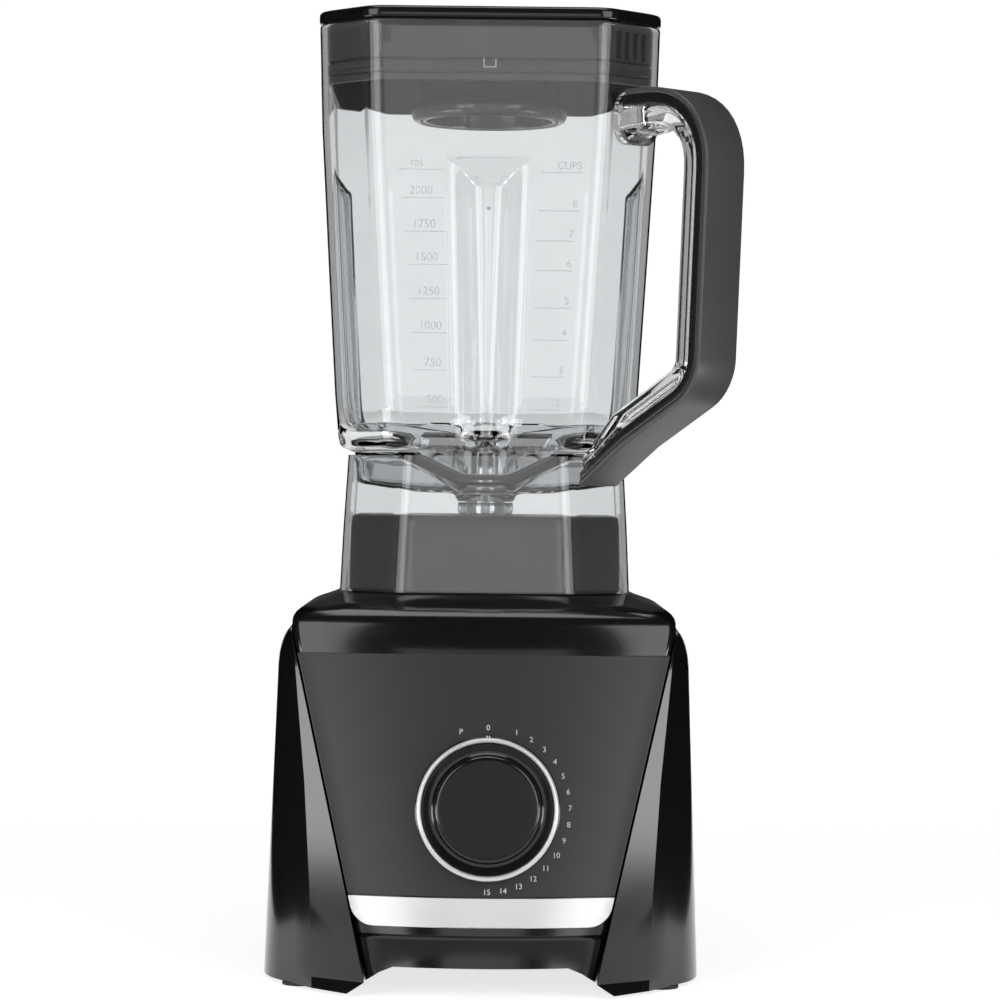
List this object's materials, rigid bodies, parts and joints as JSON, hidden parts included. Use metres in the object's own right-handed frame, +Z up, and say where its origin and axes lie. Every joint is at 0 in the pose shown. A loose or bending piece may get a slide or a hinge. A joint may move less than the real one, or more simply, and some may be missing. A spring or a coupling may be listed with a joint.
{
  "type": "countertop blender",
  "caption": "Countertop blender: a motor base with a speed knob, a clear square jar with a corner handle, turning blades, and a lid with a filler cap.",
  "frame": {"origin": "middle of the bounding box's footprint, on the surface the feet stand on; the motor axis is 6.6 mm to the left of it and 2.2 mm behind it", "axes": "+Z up along the motor axis, the front panel and knob face -Y, +X to the right as seen from the front"},
  "size_m": [0.209, 0.218, 0.4346],
  "materials": {
    "gloss_black": "glossy moulded black",
    "panel_grey": "satin dark grey, fine texture",
    "bright_trim": "plated silver",
    "matte_black": "moulded dark plastic",
    "rubber": "soft black rubber",
    "clear_plastic": "clear moulded copolyester",
    "grip_grey": "satin dark grey grip",
    "steel": "ground stainless steel",
    "copper": "enamelled copper winding",
    "iron": "laminated electrical steel and pressed brackets",
    "board": "printed circuit board",
    "seal": "silicone seal"
  },
  "bodies": {
    "base": {"base_housing": "gloss_black", "left_side_shell": "gloss_black", "right_side_shell": "gloss_black", "front_panel": "panel_grey", "trim_strip": "bright_trim", "rear_grille": "matte_black", "power_inlet_gland": "rubber", "coupling_deck": "matte_black", "bottom_plate": "matte_black", "foot_front_left": "rubber", "foot_rear_left": "rubber", "foot_front_right": "rubber", "foot_rear_right": "rubber", "stator_core": "iron", "field_coil_right": "copper", "field_coil_left": "copper", "motor_bracket_upper": "iron", "motor_bracket_lower": "iron", "motor_bearing_upper": "steel", "motor_bearing_lower": "steel", "carbon_brush_right": "matte_black", "carbon_brush_left": "matte_black", "motor_post_left": "steel", "motor_post_right": "steel", "control_board": "board", "speed_switch": "matte_black", "case_screw_front_left": "steel", "case_screw_front_right": "steel", "case_screw_rear_left": "steel", "case_screw_rear_right": "steel"},
    "knob": {"knob_stem": "matte_black", "knob_dial": "matte_black", "knob_ring": "bright_trim", "knob_cap": "panel_grey"},
    "rotor": {"motor_shaft": "steel", "armature": "copper", "commutator": "copper", "cooling_fan": "matte_black", "drive_coupling": "rubber"},
    "jar": {"jar_body": "clear_plastic", "jar_collar": "clear_plastic", "handle_core": "clear_plastic", "handle_grip": "grip_grey", "bearing_carrier": "steel", "hub_gasket": "seal", "hub_nut": "clear_plastic"},
    "blades": {"blade_shaft": "steel", "blade_lower": "steel", "blade_washer": "steel", "blade_upper": "steel", "blade_nut": "steel", "jar_coupling": "rubber"},
    "lid": {"lid_cover": "matte_black", "lid_gasket": "seal"},
    "filler_cap": {"filler_cap": "matte_black"}
  },
  "joints": [
    {"name": "knob_turn", "type": "hinge", "parent": "base", "child": "knob", "pos_m": [-0.0043, -0.09105, 0.0815], "axis": [0, -0.9929, 0.1191], "range_deg": [-180, 20]},
    {"name": "motor_spin", "type": "hinge", "parent": "base", "child": "rotor", "pos_m": [-0.0066, 0.00217, 0.1], "axis": [0, 0, 1], "continuous": true},
    {"name": "jar_lift", "type": "slide", "parent": "base", "child": "jar", "axis": [0, 0, 1], "range_m": [0, 0.12]},
    {"name": "blade_spin", "type": "hinge", "parent": "jar", "child": "blades", "pos_m": [-0.0066, 0.00217, 0.22], "axis": [0, 0, 1], "continuous": true},
    {"name": "lid_lift", "type": "slide", "parent": "jar", "child": "lid", "axis": [0, 0, 1], "range_m": [0, 0.1]},
    {"name": "cap_lift", "type": "slide", "parent": "lid", "child": "filler_cap", "axis": [0, 0, 1], "range_m": [0, 0.08]}
  ],
  "couplings": [
    {"joint": "blade_spin", "follows": "motor_spin", "ratio": 1}
  ]
}
